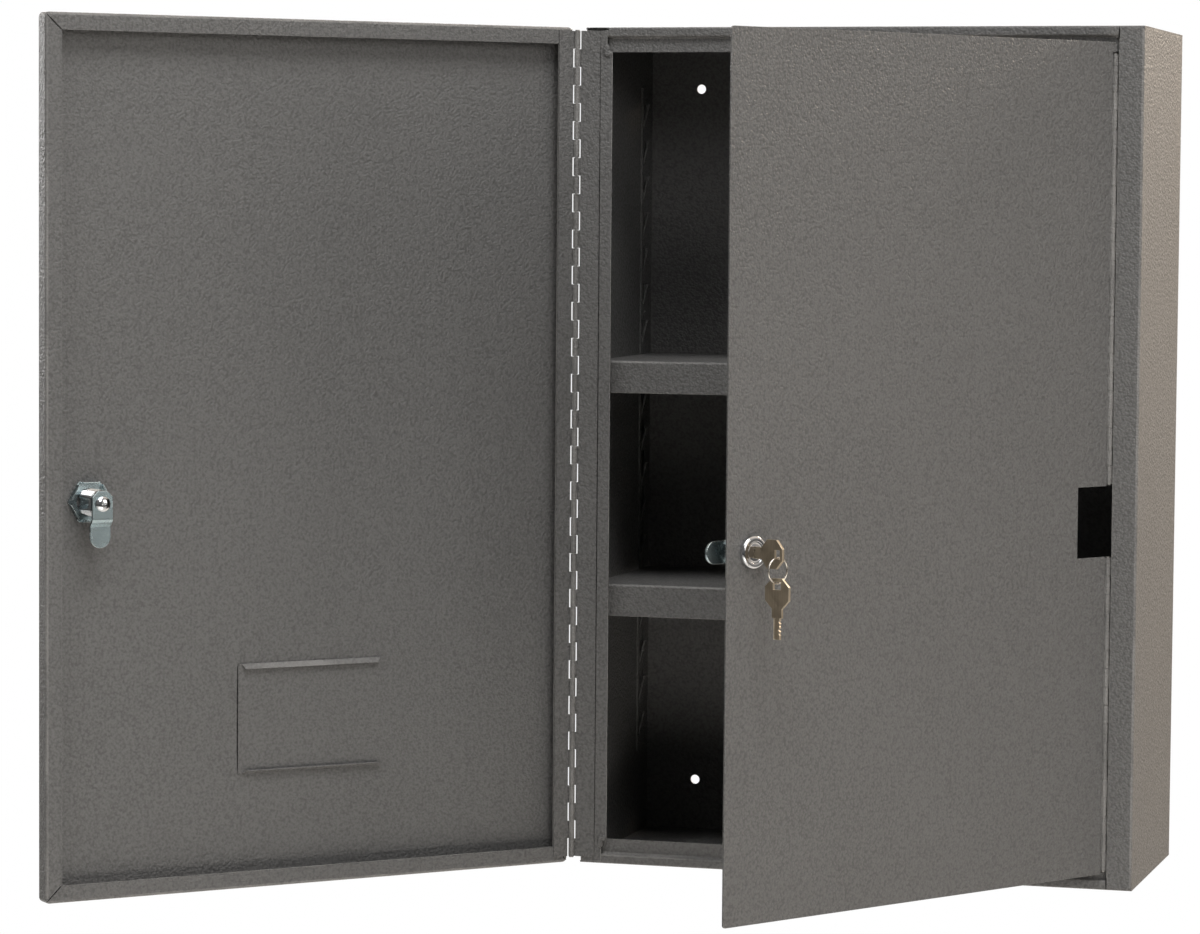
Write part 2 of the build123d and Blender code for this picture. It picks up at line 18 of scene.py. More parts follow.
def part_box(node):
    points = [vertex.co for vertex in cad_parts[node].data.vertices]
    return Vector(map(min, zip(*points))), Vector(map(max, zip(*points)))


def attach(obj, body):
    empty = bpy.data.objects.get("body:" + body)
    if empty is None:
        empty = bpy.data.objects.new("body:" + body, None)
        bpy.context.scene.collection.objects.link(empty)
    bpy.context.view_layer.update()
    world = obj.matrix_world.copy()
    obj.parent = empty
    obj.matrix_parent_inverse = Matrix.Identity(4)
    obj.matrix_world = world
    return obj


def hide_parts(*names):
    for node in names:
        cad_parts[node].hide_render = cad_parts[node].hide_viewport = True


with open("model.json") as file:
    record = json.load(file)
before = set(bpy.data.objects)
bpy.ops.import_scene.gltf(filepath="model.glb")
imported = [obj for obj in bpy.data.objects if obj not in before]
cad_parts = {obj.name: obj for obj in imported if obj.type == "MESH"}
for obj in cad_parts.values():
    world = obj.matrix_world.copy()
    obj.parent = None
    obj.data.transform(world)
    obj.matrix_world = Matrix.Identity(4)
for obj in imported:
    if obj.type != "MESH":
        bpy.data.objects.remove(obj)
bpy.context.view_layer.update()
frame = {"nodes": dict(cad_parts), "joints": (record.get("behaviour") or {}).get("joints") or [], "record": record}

log = logging.getLogger("cabinet")
MM = 0.001
# Faces marked in this layer take a lighter colour: painted highlight on edges and bend faces, with some paint wear
# on edges.
HIGHLIGHT_AND_WEAR_LAYER = "edge_highlight_and_wear"
BEND_WIDTH = 2.2 * MM  # the steps of a bend are narrower than this
BEND_FROM = 8.0  # degrees between two steps of a bend, at least
MERGE = 0.002 * MM
FLAT_WITHIN = 0.5  # degrees
STAMPED_ABOVE = 40.0  # degrees; sharper edges of a stamped piece are rounded

Colour = tuple[float, float, float]
Place = tuple[float, float, float]
Profile = list[tuple[float, float]]


class Door(Enum):
    """The two doors, by the name that their pieces carry."""

    OUTER = "outer"
    INNER = "inner"


class Way(Enum):
    """Along which axis a metal was drawn or brushed."""

    NONE = (1.0, 1.0, 1.0)
    UPRIGHT = (1.0, 1.0, 0.08)


# ---------------------------------------------------------------- shader groups


class ShaderGroup:
    """A node group with named sockets, built once."""

    def __init__(self, name: str) -> None:
        """Make an empty group.

        Args:
            name: Name of the group.
        """
        self.tree = bpy.data.node_groups.new(name, "ShaderNodeTree")
        self.entry = self.tree.nodes.new("NodeGroupInput")
        self.exit = self.tree.nodes.new("NodeGroupOutput")

    def socket(self, name: str, way: str, kind: str, value: object = None) -> None:
        """Add a socket.

        Args:
            name: Name of the socket.
            way: "INPUT" or "OUTPUT".
            kind: "Float", "Color" or "Vector".
            value: Default of an input.
        """
        made = self.tree.interface.new_socket(name=name, in_out=way, socket_type=f"NodeSocket{kind}")
        if value is not None:
            made.default_value = value

    def node(self, kind: str, **settings: object) -> bpy.types.Node:
        """Add a node with settings and return it."""
        made = self.tree.nodes.new(kind)
        for key, value in settings.items():
            setattr(made, key, value)
        return made

    def join(self, start: bpy.types.NodeSocket, end: bpy.types.NodeSocket) -> None:
        """Link one socket to another."""
        self.tree.links.new(start, end)

    def scaled(self, source: bpy.types.NodeSocket, factor: float) -> bpy.types.NodeSocket:
        """Return a value times a fixed factor."""
        times = self.node("ShaderNodeMath", operation="MULTIPLY")
        times.inputs[1].default_value = factor
        self.join(source, times.inputs[0])
        return times.outputs[0]


def pebble_group(softness: float = 0.6, finer: float = 0.72, pits: float = -0.55) -> bpy.types.ShaderNodeTree:
    """Build the group for pebbled paint: soft raised grains of uneven size.

    Args:
        softness: How far the grains melt into each other, from 0 to 1.
        finer: Scale of the unevenness against that of the grains.
        pits: Share of the grains' hollows, below zero because they lie deeper.

    Returns:
        A group with the output Height, from 0 to 1.
    """
    group = ShaderGroup("pebbled_grain")
    group.socket("Scale", "INPUT", "Float", 430.0)
    group.socket("Height", "OUTPUT", "Float")
    place = group.node("ShaderNodeTexCoord")
    cells = group.node("ShaderNodeTexVoronoi", feature="SMOOTH_F1")
    cells.inputs["Smoothness"].default_value = softness
    grain = group.node("ShaderNodeTexNoise")
    grain.inputs["Detail"].default_value = 2.5
    grain.inputs["Roughness"].default_value = 0.55
    group.join(place.outputs["Object"], cells.inputs["Vector"])
    group.join(place.outputs["Object"], grain.inputs["Vector"])
    group.join(group.entry.outputs["Scale"], cells.inputs["Scale"])
    group.join(group.scaled(group.entry.outputs["Scale"], finer), grain.inputs["Scale"])
    both = group.node("ShaderNodeMath", operation="MULTIPLY_ADD")
    both.inputs[1].default_value = pits
    group.join(cells.outputs["Distance"], both.inputs[0])
    group.join(grain.outputs[0], both.inputs[2])
    level = group.node("ShaderNodeMapRange")
    level.inputs["From Min"].default_value = 0.0
    level.inputs["From Max"].default_value = 0.5
    group.join(both.outputs[0], level.inputs["Value"])
    group.join(level.outputs[0], group.exit.inputs["Height"])
    return group.tree


def highlight_and_wear_group(patch_scale: float = 26.0, least: float = 0.35) -> bpy.types.ShaderNodeTree:
    """Build the group that lightens marked edges: painted highlight, with some thin, worn paint.

    Args:
        patch_scale: Scale of the patches where the lightening is stronger or weaker.
        least: Share of the lightening where a patch has least.

    Returns:
        A group that mixes a colour towards the lighter edge colour along marked edges, as painted highlight and
        wear.
    """
    group = ShaderGroup("highlit_and_worn_edges")
    group.socket("Color", "INPUT", "Color")
    group.socket("Edge_highlight_and_wear", "INPUT", "Color")
    group.socket("Amount", "INPUT", "Float", 0.6)
    group.socket("Color", "OUTPUT", "Color")
    group.socket("Mask", "OUTPUT", "Float")
    # Marked faces mix towards the lighter colour: painted highlight, with some wear.
    marked = group.node("ShaderNodeAttribute", attribute_name=HIGHLIGHT_AND_WEAR_LAYER)
    place = group.node("ShaderNodeTexCoord")
    patches = group.node("ShaderNodeTexNoise")
    patches.inputs["Scale"].default_value = patch_scale
    patches.inputs["Detail"].default_value = 5.0
    group.join(place.outputs["Object"], patches.inputs["Vector"])
    level = group.node("ShaderNodeMapRange")
    level.inputs["From Min"].default_value = 0.38
    level.inputs["From Max"].default_value = 0.62
    level.inputs["To Min"].default_value = least
    group.join(patches.outputs[0], level.inputs["Value"])
    share = group.node("ShaderNodeMath", operation="MULTIPLY")
    group.join(level.outputs[0], share.inputs[0])
    group.join(marked.outputs["Fac"], share.inputs[1])
    amount = group.node("ShaderNodeMath", operation="MULTIPLY")
    group.join(share.outputs[0], amount.inputs[0])
    group.join(group.entry.outputs["Amount"], amount.inputs[1])
    mix = group.node("ShaderNodeMix", data_type="RGBA")
    group.join(amount.outputs[0], mix.inputs[0])
    group.join(group.entry.outputs["Color"], mix.inputs[6])
    group.join(group.entry.outputs["Edge_highlight_and_wear"], mix.inputs[7])
    group.join(mix.outputs[2], group.exit.inputs["Color"])
    group.join(amount.outputs[0], group.exit.inputs["Mask"])
    return group.tree


def wear_group(haze_share: float = 0.18) -> bpy.types.ShaderNodeTree:
    """Build the group for metal: drawn lines and hazy patches.

    Args:
        haze_share: Scale of the hazy patches against that of the lines.

    Returns:
        A group with the outputs Haze and Lines, both from 0 to 1.
    """
    group = ShaderGroup("handled_metal")
    group.socket("Stretch", "INPUT", "Vector", (1.0, 1.0, 1.0))
    group.socket("Scale", "INPUT", "Float", 900.0)
    for name in ("Haze", "Lines"):
        group.socket(name, "OUTPUT", "Float")
    place = group.node("ShaderNodeTexCoord")
    drawn = group.node("ShaderNodeVectorMath", operation="MULTIPLY")
    group.join(place.outputs["Object"], drawn.inputs[0])
    group.join(group.entry.outputs["Stretch"], drawn.inputs[1])
    lines = group.node("ShaderNodeTexNoise")
    lines.inputs["Detail"].default_value = 4.0
    group.join(drawn.outputs[0], lines.inputs["Vector"])
    group.join(group.entry.outputs["Scale"], lines.inputs["Scale"])
    haze = group.node("ShaderNodeTexNoise")
    haze.inputs["Detail"].default_value = 3.0
    haze.inputs["Roughness"].default_value = 0.6
    group.join(place.outputs["Object"], haze.inputs["Vector"])
    group.join(group.scaled(group.entry.outputs["Scale"], haze_share), haze.inputs["Scale"])
    level = group.node("ShaderNodeMapRange")
    level.inputs["From Min"].default_value = 0.35
    level.inputs["From Max"].default_value = 0.7
    group.join(haze.outputs[0], level.inputs["Value"])
    group.join(level.outputs[0], group.exit.inputs["Haze"])
    group.join(lines.outputs[0], group.exit.inputs["Lines"])
    return group.tree


# ---------------------------------------------------------------- finishes


@dataclass(frozen=True)
class PebbledPaint:
    """Baked pebbled paint on sheet steel."""

    name: str
    colour: Colour
    # Lighter colour of marked edges and bend faces: painted highlight, with some paint wear.
    highlight_and_wear_colour: Colour
    grain_scale: float = 600.0
    grain_height: float = 0.0004
    roughness: float = 0.42
    # How far marked edges take that lighter colour of painted highlight and wear.
    highlight_and_wear: float = 0.6
    sheen: float = 0.32
    darkest: float = 0.78
    lightest: float = 1.18
    cloud_scale: float = 7.0
    cloud_share: float = 0.35
    gloss_spread: tuple[float, float] = (0.07, -0.04)

    def material(
        self, pebble: bpy.types.ShaderNodeTree, highlight_and_wear: bpy.types.ShaderNodeTree
    ) -> bpy.types.Material:
        """Make the material.

        Args:
            pebble: The pebbled grain group.
            highlight_and_wear: The group for the painted highlight and wear of edges.

        Returns:
            The finished material.
        """
        material = bpy.data.materials.new(self.name)
        material.use_nodes = True
        tree = material.node_tree
        shader = tree.nodes["Principled BSDF"]
        shader.inputs["Specular IOR Level"].default_value = self.sheen
        grain = tree.nodes.new("ShaderNodeGroup")
        grain.node_tree = pebble
        grain.inputs["Scale"].default_value = self.grain_scale
        place = tree.nodes.new("ShaderNodeTexCoord")
        cloud = tree.nodes.new("ShaderNodeTexNoise")
        cloud.inputs["Scale"].default_value = self.cloud_scale
        cloud.inputs["Detail"].default_value = 4.0
        tree.links.new(place.outputs["Object"], cloud.inputs["Vector"])
        blend = tree.nodes.new("ShaderNodeMath")
        blend.operation = "MULTIPLY_ADD"
        blend.inputs[1].default_value = self.cloud_share
        tree.links.new(cloud.outputs[0], blend.inputs[0])
        tree.links.new(grain.outputs["Height"], blend.inputs[2])
        tone = tree.nodes.new("ShaderNodeValToRGB")
        tone.color_ramp.elements[0].position = 0.1
        tone.color_ramp.elements[0].color = (*[c * self.darkest for c in self.colour], 1.0)
        tone.color_ramp.elements[1].position = 1.2 / (1.0 + self.cloud_share)
        tone.color_ramp.elements[1].color = (*[c * self.lightest for c in self.colour], 1.0)
        tree.links.new(blend.outputs[0], tone.inputs[0])
        # Marked edges and bend faces take the lighter colour: painted highlight, with some paint wear.
        edges = tree.nodes.new("ShaderNodeGroup")
        edges.node_tree = highlight_and_wear
        edges.inputs["Edge_highlight_and_wear"].default_value = (*self.highlight_and_wear_colour, 1.0)
        edges.inputs["Amount"].default_value = self.highlight_and_wear
        tree.links.new(tone.outputs[0], edges.inputs["Color"])
        tree.links.new(edges.outputs["Color"], shader.inputs["Base Color"])
        gloss = tree.nodes.new("ShaderNodeMapRange")
        gloss.inputs["To Min"].default_value = self.roughness + self.gloss_spread[0]
        gloss.inputs["To Max"].default_value = self.roughness + self.gloss_spread[1]
        tree.links.new(grain.outputs["Height"], gloss.inputs["Value"])
        tree.links.new(gloss.outputs[0], shader.inputs["Roughness"])
        bump = tree.nodes.new("ShaderNodeBump")
        bump.inputs["Strength"].default_value = 1.0
        bump.inputs["Distance"].default_value = self.grain_height
        tree.links.new(grain.outputs["Height"], bump.inputs["Height"])
        tree.links.new(bump.outputs[0], shader.inputs["Normal"])
        return material


@dataclass(frozen=True)
class HandledMetal:
    """Plated, drawn or polished metal with haze, fine lines, and edges lightened as painted highlight and wear."""

    name: str
    colour: Colour
    # Lighter colour of marked edges: painted highlight, with some wear of the plating.
    highlight_and_wear_colour: Colour
    roughness: float
    haze: float
    line_height: float
    scale: float = 900.0
    way: Way = Way.NONE
    spread: float = 0.12

    def material(
        self, wear: bpy.types.ShaderNodeTree, highlight_and_wear: bpy.types.ShaderNodeTree
    ) -> bpy.types.Material:
        """Make the material.

        Args:
            wear: The handled metal group.
            highlight_and_wear: The group for the painted highlight and wear of edges.

        Returns:
            The finished material.
        """
        material = bpy.data.materials.new(self.name)
        material.use_nodes = True
        tree = material.node_tree
        shader = tree.nodes["Principled BSDF"]
        shader.inputs["Metallic"].default_value = 1.0
        worn = tree.nodes.new("ShaderNodeGroup")
        worn.node_tree = wear
        worn.inputs["Scale"].default_value = self.scale
        worn.inputs["Stretch"].default_value = self.way.value
        tone = tree.nodes.new("ShaderNodeValToRGB")
        tone.color_ramp.elements[0].position = 0.25
        tone.color_ramp.elements[0].color = (*[c * (1 - self.spread) for c in self.colour], 1.0)
        tone.color_ramp.elements[1].position = 0.75
        tone.color_ramp.elements[1].color = (*[min(1.0, c * (1 + self.spread)) for c in self.colour], 1.0)
        tree.links.new(worn.outputs["Lines"], tone.inputs[0])
        # Marked edges take the lighter colour: painted highlight, with some wear.
        edges = tree.nodes.new("ShaderNodeGroup")
        edges.node_tree = highlight_and_wear
        edges.inputs["Edge_highlight_and_wear"].default_value = (*self.highlight_and_wear_colour, 1.0)
        tree.links.new(tone.outputs[0], edges.inputs["Color"])
        tree.links.new(edges.outputs["Color"], shader.inputs["Base Color"])
        gloss = tree.nodes.new("ShaderNodeMapRange")
        gloss.inputs["To Min"].default_value = self.roughness
        gloss.inputs["To Max"].default_value = self.roughness + self.haze
        tree.links.new(worn.outputs["Haze"], gloss.inputs["Value"])
        tree.links.new(gloss.outputs[0], shader.inputs["Roughness"])
        bump = tree.nodes.new("ShaderNodeBump")
        bump.inputs["Strength"].default_value = 1.0
        bump.inputs["Distance"].default_value = self.line_height
        tree.links.new(worn.outputs["Lines"], bump.inputs["Height"])
        tree.links.new(bump.outputs[0], shader.inputs["Normal"])
        return material


class Finishes:
    """Every finish of the cabinet, by the material slot it stands for."""

    def __init__(self) -> None:
        """Build the shader groups once and make each material from them."""
        pebble, highlight_and_wear, wear = pebble_group(), highlight_and_wear_group(), wear_group()
        # The second colour of each finish here and below lightens marked edges: painted highlight, with some wear.
        paint = PebbledPaint("pebbled_grey_paint", (0.124, 0.122, 0.119), (0.34, 0.33, 0.315))
        metals = {
            "hinge_pin_steel": HandledMetal(
                "hinge_pin_steel", (0.36, 0.35, 0.33), (0.5, 0.49, 0.47), roughness=0.38, haze=0.1,
                line_height=0.000004,
            ),
            "lock_chrome": HandledMetal(
                "bright_chrome", (0.60, 0.61, 0.62), (0.9, 0.9, 0.9), roughness=0.07, haze=0.06,
                line_height=0.0000005, spread=0.03,
            ),
            "lock_zinc": HandledMetal(
                "bright_zinc", (0.36, 0.44, 0.46), (0.85, 0.9, 0.9), roughness=0.24, haze=0.05,
                line_height=0.0000012, spread=0.05,
            ),
            "key_nickel": HandledMetal(
                "worn_key_nickel", (0.42, 0.35, 0.26), (0.9, 0.82, 0.68), roughness=0.34, haze=0.16,
                line_height=0.000005, scale=800.0, way=Way.UPRIGHT,
            ),
            "ring_steel": HandledMetal(
                "ring_wire", (0.52, 0.49, 0.44), (0.7, 0.68, 0.64), roughness=0.2, haze=0.1,
                line_height=0.000002, scale=1400.0,
            ),
        }
        self.by_slot = {"case_paint": paint.material(pebble, highlight_and_wear)}
        for slot, metal in metals.items():
            self.by_slot[slot] = metal.material(wear, highlight_and_wear)

    def dress(self, piece: bpy.types.Object, slot: str) -> None:
        """Give a piece the finish that stands for a material slot.

        Args:
            piece: The object to dress.
            slot: A material slot of the record.
        """
        piece.data.materials.clear()
        piece.data.materials.append(self.by_slot[slot])

    def stand_in(self, piece: bpy.types.Object, node: str) -> bpy.types.Object:
        """Dress a piece as its node, let it ride on the node's body and replace the node.

        Args:
            piece: The new piece.
            node: The node that it stands for.

        Returns:
            The same piece.
        """
        self.dress(piece, NODE_SLOT[node])
        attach(piece, NODE_BODY[node])
        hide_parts(node)
        return piece


# ---------------------------------------------------------------- shared mesh work

NODE_BODY = {node: body for body, nodes in frame["record"]["behaviour"]["bodies"].items() for node in nodes}
NODE_SLOT = {entry["node"]: entry["material_slot"] for entry in frame["record"]["subparts"]}


def placed(name: str, shape: bmesh.types.BMesh, smooth_below: float = 40.0) -> bpy.types.Object:
    """Turn a finished shape into an object at the origin, with flat faces kept flat.

    Args:
        name: Name of the object and its mesh.
        shape: The shape, freed here.
        smooth_below: Edges that turn less than this many degrees shade smooth.

    Returns:
        The new object.
    """
    for edge in shape.edges:
        paired = len(edge.link_faces) == 2
        edge.smooth = paired and edge.calc_face_angle(0.0) < math.radians(smooth_below)
    for face in shape.faces:
        face.smooth = True
    mesh = bpy.data.meshes.new(name)
    shape.to_mesh(mesh)
    shape.free()
    piece = bpy.data.objects.new(name, mesh)
    bpy.context.collection.objects.link(piece)
    even = piece.modifiers.new("even_normals", "WEIGHTED_NORMAL")
    even.keep_sharp = True
    return piece


def softened(
    shape: bmesh.types.BMesh, width: float, above: float, segments: int = 2, bend_highlight: float = 0.0
) -> None:
    """Round the sharp edges of a shape and mark the new faces, and its narrow bent ones, for the lighter edge
    colour: painted highlight, with some wear.

    Args:
        shape: The shape to change.
        width: Width of the rounding, in metres.
        above: Only edges that turn more than this many degrees are rounded.
        segments: Steps in the rounding.
        bend_highlight: How far the narrow faces of a bend take the painted highlight, from 0 to 1.
    """
    layer = shape.faces.layers.float.new(HIGHLIGHT_AND_WEAR_LAYER)
    for face in shape.faces:
        turns = [math.degrees(edge.calc_face_angle(0.0)) for edge in face.edges]
        narrow = face.calc_area() < BEND_WIDTH * face.calc_perimeter() / 2
        # Narrow bent faces get painted highlight, as a bend would catch the light.
        if narrow and sum(BEND_FROM < turn <= above for turn in turns) > 1:
            face[layer] = bend_highlight
    sharp = [
        edge
        for edge in shape.edges
        if len(edge.link_faces) == 2 and edge.calc_face_angle(0.0) > math.radians(above)
    ]
    made = bmesh.ops.bevel(
        shape, geom=sharp, offset=width, offset_type="OFFSET", segments=segments,
        profile=0.5, affect="EDGES", clamp_overlap=True, material=-1,
    )
    # Rounded edges take the lighter colour in full: painted highlight, with some paint wear.
    for face in made["faces"]:
        face[layer] = 1.0


def merged_copy(node: str) -> bmesh.types.BMesh:
    """Return a copy of a node's mesh with its corners merged and its flat faces whole."""
    source = frame["nodes"][node]
    shape = bmesh.new()
    shape.from_mesh(source.data)
    shape.transform(source.matrix_world)
    bmesh.ops.remove_doubles(shape, verts=shape.verts, dist=MERGE)
    flat = math.radians(FLAT_WITHIN)
    bmesh.ops.dissolve_limit(shape, angle_limit=flat, verts=shape.verts, edges=shape.edges)
    return shape


def spun(profile: Profile, steps: int = 64) -> bmesh.types.BMesh:
    """Turn a closed outline of (radius, depth) points, in millimetres, about the lock's Y axis.

    Args:
        profile: Outline points in order; the last joins the first.
        steps: Steps in the full turn.

    Returns:
        A closed shape in metres.
    """
    shape = bmesh.new()
    corners = [shape.verts.new((radius * MM, depth * MM, 0.0)) for radius, depth in profile]
    for start, end in zip(corners, corners[1:] + corners[:1]):
        if start.co.x > 0 or end.co.x > 0:
            shape.edges.new((start, end))
    bmesh.ops.spin(
        shape, geom=list(shape.verts) + list(shape.edges), cent=(0, 0, 0), axis=(0, 1, 0),
        angle=math.tau, steps=steps, use_merge=True, use_duplicate=False,
    )
    bmesh.ops.remove_doubles(shape, verts=shape.verts, dist=MERGE / 2)
    bmesh.ops.recalc_face_normals(shape, faces=shape.faces)
    return shape


def carved(shape: bmesh.types.BMesh, cutter: bmesh.types.BMesh) -> bmesh.types.BMesh:
    """Cut one closed shape out of another.

    Args:
        shape: The shape to cut, freed here.
        cutter: What is taken away, freed here.

    Returns:
        The cut shape.
    """
    pair = []
    for part in (shape, cutter):
        mesh = bpy.data.meshes.new("carving")
        part.to_mesh(mesh)
        part.free()
        pair.append(bpy.data.objects.new("carving", mesh))
        bpy.context.collection.objects.link(pair[-1])
    cut = pair[0].modifiers.new("cut", "BOOLEAN")
    cut.operation = "DIFFERENCE"
    cut.solver = "EXACT"
    cut.object = pair[1]
    bpy.context.view_layer.update()
    seen = pair[0].evaluated_get(bpy.context.evaluated_depsgraph_get())
    result = bmesh.new()
    result.from_mesh(seen.to_mesh())
    seen.to_mesh_clear()
    for piece in pair:
        mesh = piece.data
        bpy.data.objects.remove(piece)
        bpy.data.meshes.remove(mesh)
    return result


def block(size: tuple[float, float, float], centre: tuple[float, float, float]) -> bmesh.types.BMesh:
    """Return a rectangular cutter, with size and centre in millimetres."""
    shape = bmesh.new()
    move = Matrix.Translation(Vector(centre) * MM) @ Matrix.Diagonal((*(Vector(size) * MM), 1.0))
    bmesh.ops.create_cube(shape, size=1.0, matrix=move)
    return shape


def door_frame() -> tuple[Vector, Vector, float, list[Vector]]:
    """Find how the open outer door stands.

    Returns:
        The unit direction that its inside looks in, the unit direction along it away from the
        hinge, how far its returns lie along the first, and its corners.
    """
    door = frame["nodes"]["outer_door"].data
    corners = [vert.co for vert in door.vertices]
    skin = max((face for face in door.polygons if face.normal.y < 0), key=lambda face: face.area)
    facing = Vector((skin.normal.x, skin.normal.y, 0)).normalized()
    return facing, Vector((facing.y, -facing.x, 0)), max(point.dot(facing) for point in corners), corners


def joint_named(name: str) -> dict:
    """Return a joint of the model by its name."""
    return next(joint for joint in frame["joints"] if joint["name"] == name)


# ---------------------------------------------------------------- sheet pieces


@dataclass
class SheetMetal:
    """Case panels, shelves, ladders, doors and hinge leaves, with softened raw and bent edges that carry painted
    highlight.
    """

    finishes: Finishes
    panel_edge: float = 0.35 * MM
    leaf_edge: float = 0.16 * MM
    thin_edge: float = 0.2 * MM
    folds_above: float = 50.0
    # How far the narrow faces of a bend take the painted highlight.
    bend_highlight: float = 0.7
    flapped: str = "card_holder"
    # Range of upward lean of the top flap's faces that get painted highlight.
    flap_tilt: tuple[float, float] = (0.3, 0.97)
    flap_zone: float = 12.0 * MM
    flap_root: float = 0.8 * MM
    flap_lean: float = 0.65
    panels: tuple[str, ...] = (
        "left_side_panel", "right_side_panel", "top_panel", "bottom_panel", "back_panel",
        "upper_shelf", "lower_shelf", "outer_door", "inner_door",
    )
    leaves: tuple[str, ...] = (
        "outer_hinge_case_leaf", "outer_hinge_door_leaf", "upper_hinge_case_leaf",
        "upper_hinge_door_leaf", "lower_hinge_case_leaf", "lower_hinge_door_leaf",
    )
    thin: tuple[str, ...] = (
        "front_left_ladder", "back_left_ladder", "front_right_ladder", "back_right_ladder", "card_holder",
    )

    def refine(self, node: str, width: float, above: float) -> bpy.types.Object:
        """Replace a node by a copy with rounded edges.

        Args:
            node: The node to stand for.
            width: Width of the rounding, in metres.
            above: Only edges that turn more than this many degrees are rounded.

        Returns:
            The new piece.
        """
        shape = merged_copy(node)
        if node == self.flapped:
            self.lower_top_flap(shape)
        softened(shape, width, above, bend_highlight=self.bend_highlight)
        if node == self.flapped:
            self.highlight_top_flap(shape)
        return self.finishes.stand_in(placed(f"{node}_sheet", shape), node)

    def highlight_top_flap(self, shape: bmesh.types.BMesh) -> None:
        """Paint a highlight on the card holder's top flap, where its faces look up and out towards light from
        above.

        Args:
            shape: The holder, with its layer of painted highlight and wear.
        """
        low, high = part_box(self.flapped)
        middle = (low[2] + high[2]) / 2
        layer = shape.faces.layers.float[HIGHLIGHT_AND_WEAR_LAYER]
        least, most = self.flap_tilt
        # Faces that lean up take the painted highlight that light from above gives them.
        for face in shape.faces:
            if least < face.normal.z < most and face.calc_center_median().z > middle:
                face[layer] = 1.0

    def lower_top_flap(self, shape: bmesh.types.BMesh) -> None:
        """Lean the card holder's top flap further down, with its reach out of the door kept.

        Args:
            shape: The holder, changed here.
        """
        facing, _, _, _ = door_frame()
        top = max(vert.co.z for vert in shape.verts)
        seat = min(vert.co.dot(facing) for vert in shape.verts)
        for vert in shape.verts:
            if vert.co.z > top - self.flap_zone:
                vert.co.z -= self.flap_lean * max(0.0, vert.co.dot(facing) - seat - self.flap_root)

    def build(self) -> None:
        """Make every sheet piece."""
        for node in self.panels:
            self.refine(node, self.panel_edge, self.folds_above)
        for node in self.leaves:
            self.refine(node, self.leaf_edge, self.folds_above)
        for node in self.thin:
            self.refine(node, self.thin_edge, STAMPED_ABOVE)
        log.info("sheet pieces: %d", len(self.panels) + len(self.leaves) + len(self.thin))


@dataclass
class HingePins:
    """The three long pins, round and headed."""

    finishes: Finishes
    pins: tuple[str, ...] = ("outer_hinge_pin", "upper_hinge_pin", "lower_hinge_pin")

    def build(self) -> None:
        """Give each pin its finish; its modelled shape stays."""
        for node in self.pins:
            self.finishes.dress(frame["nodes"][node], NODE_SLOT[node])
        log.info("hinge pins: %d", len(self.pins))


@dataclass
class WeldBeads:
    """Small painted weld beads where the rails meet the left flange."""

    finishes: Finishes
    radius: float = 2.9
    flatten: float = 0.5
    ripple: float = 0.28
    ripple_scale: float = 900.0
    rail_share: float = 0.98

    def bead(self, name: str, place: Vector, stretch: tuple[float, float, float]) -> None:
        """Make one bead.

        Args:
            name: Name of the piece.
            place: Its centre, in metres.
            stretch: Its size along each axis against its radius.
        """
        shape = bmesh.new()
        bmesh.ops.create_icosphere(shape, subdivisions=4, radius=self.radius * MM)
        for vert in shape.verts:
            ripple = noise.noise(vert.co * self.ripple_scale + place * 40.0)
            vert.co *= 1.0 + self.ripple * ripple
        bmesh.ops.scale(shape, vec=stretch, verts=shape.verts)
        bmesh.ops.translate(shape, vec=place, verts=shape.verts)
        piece = placed(name, shape)
        self.finishes.dress(piece, "case_paint")
        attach(piece, "case")

    def build(self) -> None:
        """Make two beads at each end of the left flange, one over the other."""
        low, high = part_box("left_side_panel")
        rail_low, rail_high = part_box("top_panel")
        front = low[1]
        flange = high[0]
        for end, height in (("lower", -1), ("upper", 1)):
            z = height * (rail_high[2] - (rail_high[2] - rail_low[2]) * self.rail_share)
            inner = Vector((flange - 3.4 * MM, front - 0.1 * MM, z - height * 1.6 * MM))
            outer = Vector((flange - 4.6 * MM, front, z + height * 1.4 * MM))
            self.bead(f"weld_{end}_left_a", inner, (1.0, self.flatten, 0.9))
            self.bead(f"weld_{end}_left_b", outer, (0.75, self.flatten, 1.5))
        log.info("weld beads: 4")


